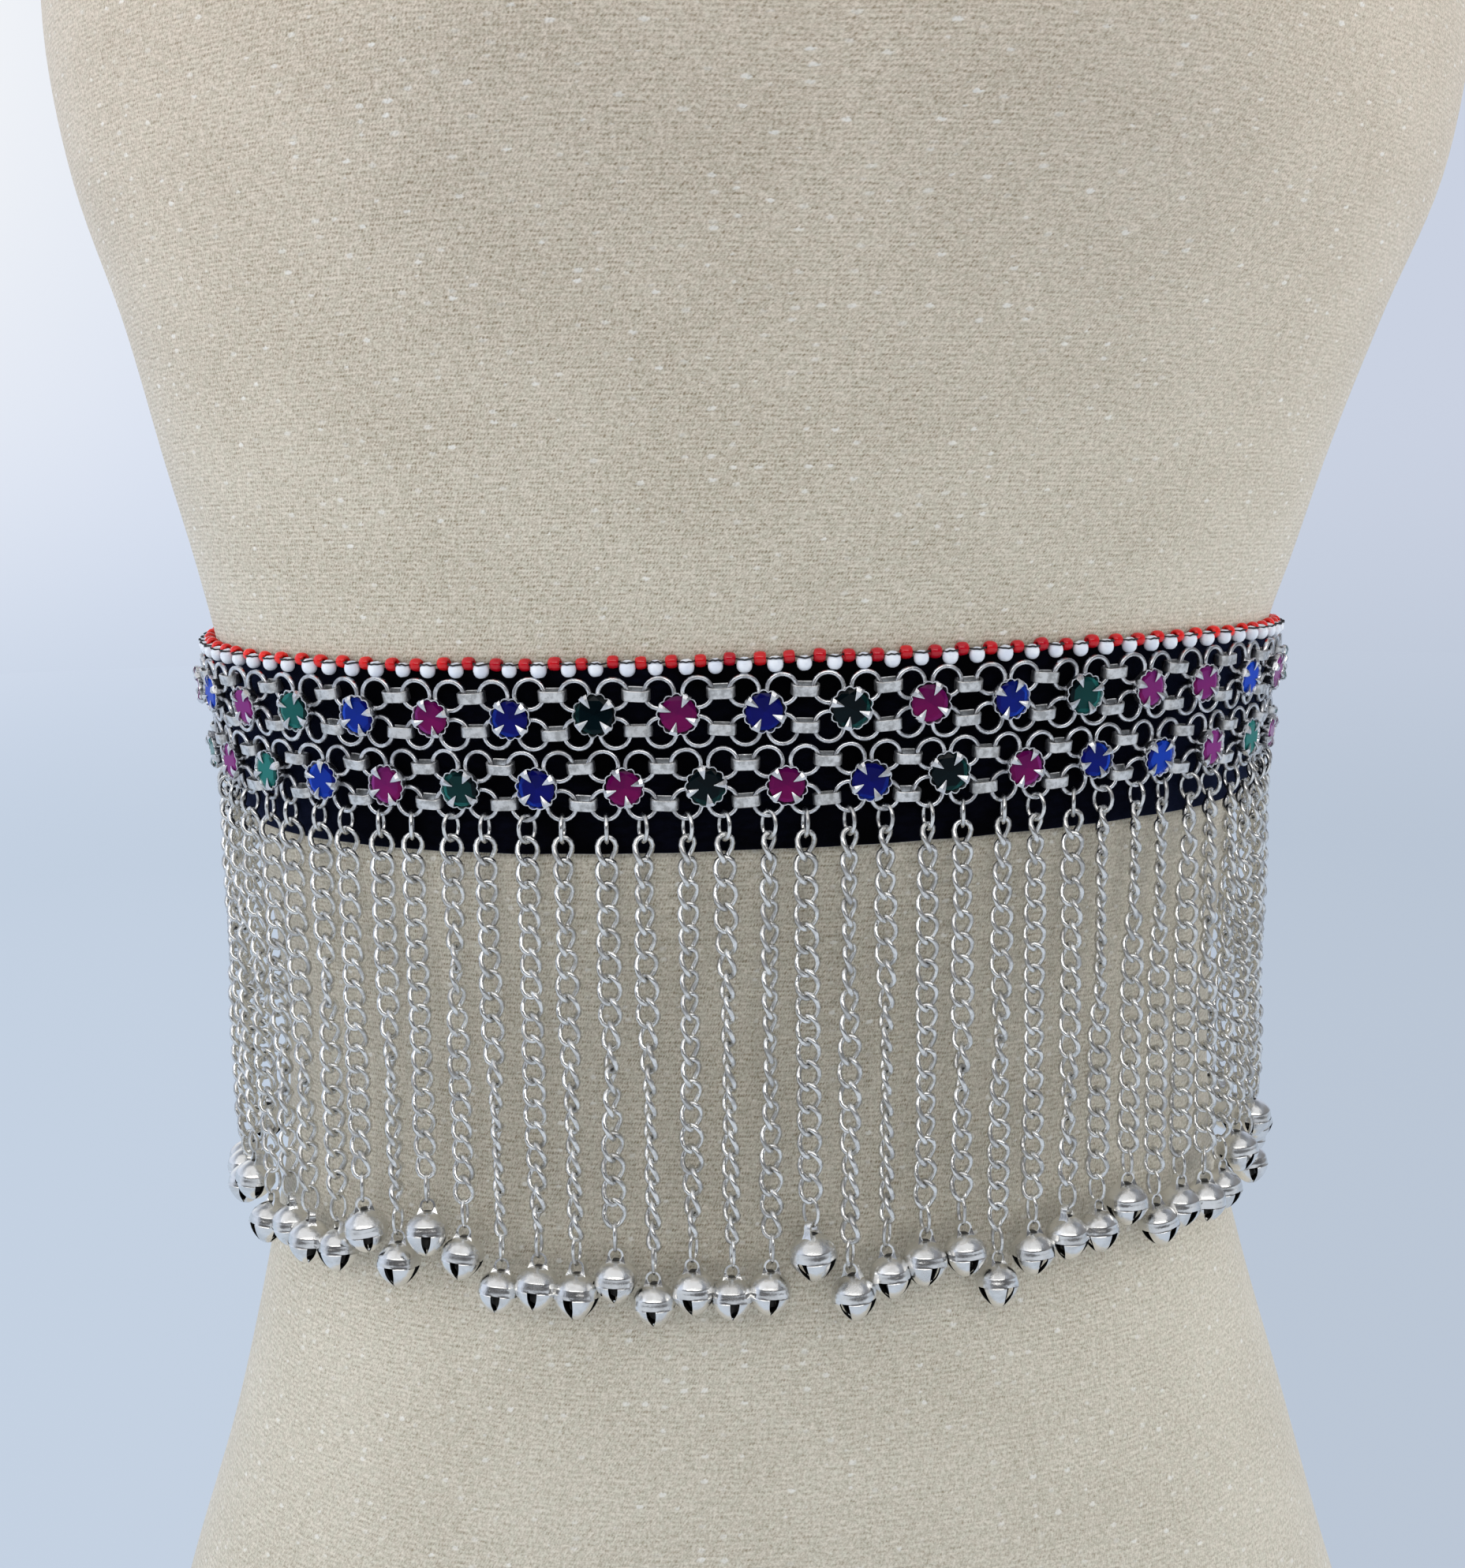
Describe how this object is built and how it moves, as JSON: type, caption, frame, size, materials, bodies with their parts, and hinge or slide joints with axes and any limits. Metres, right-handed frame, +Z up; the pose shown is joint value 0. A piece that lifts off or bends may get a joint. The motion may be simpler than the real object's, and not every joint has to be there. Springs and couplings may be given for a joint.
{
  "type": "belly dance hip belt on a torso dress form",
  "caption": "Velvet ribbon belt with jewelled openwork metal rows and a fringe of chains ending in round bells, round a limbless torso form that stands on its flat base.",
  "frame": {"origin": "middle of the form's flat underside, on the surface that it stands on", "axes": "+Z up, -Y toward the front of the form, +X toward the right as seen from the front"},
  "size_m": [0.3261, 0.2194, 0.74],
  "materials": {
    "jersey": "fine beige knit jersey, matt",
    "velvet": "black velvet pile with a soft sheen at grazing angles",
    "ring_metal": "satin silver-coloured metal",
    "chain_metal": "bright satin silver-coloured metal",
    "bell_metal": "satin silver-coloured metal",
    "stone_purple": "faceted glass, foiled behind",
    "stone_blue": "faceted glass, foiled behind",
    "stone_green": "faceted glass, foiled behind",
    "bead_red": "clear red glass",
    "bead_white": "opaque white glass",
    "thread": "black sewing thread"
  },
  "bodies": {
    "root": {"dress_form": "jersey", "velvet_ribbon": "velvet", "jewel_row_upper": "ring_metal", "bell_fringe": "chain_metal"}
  },
  "joints": []
}
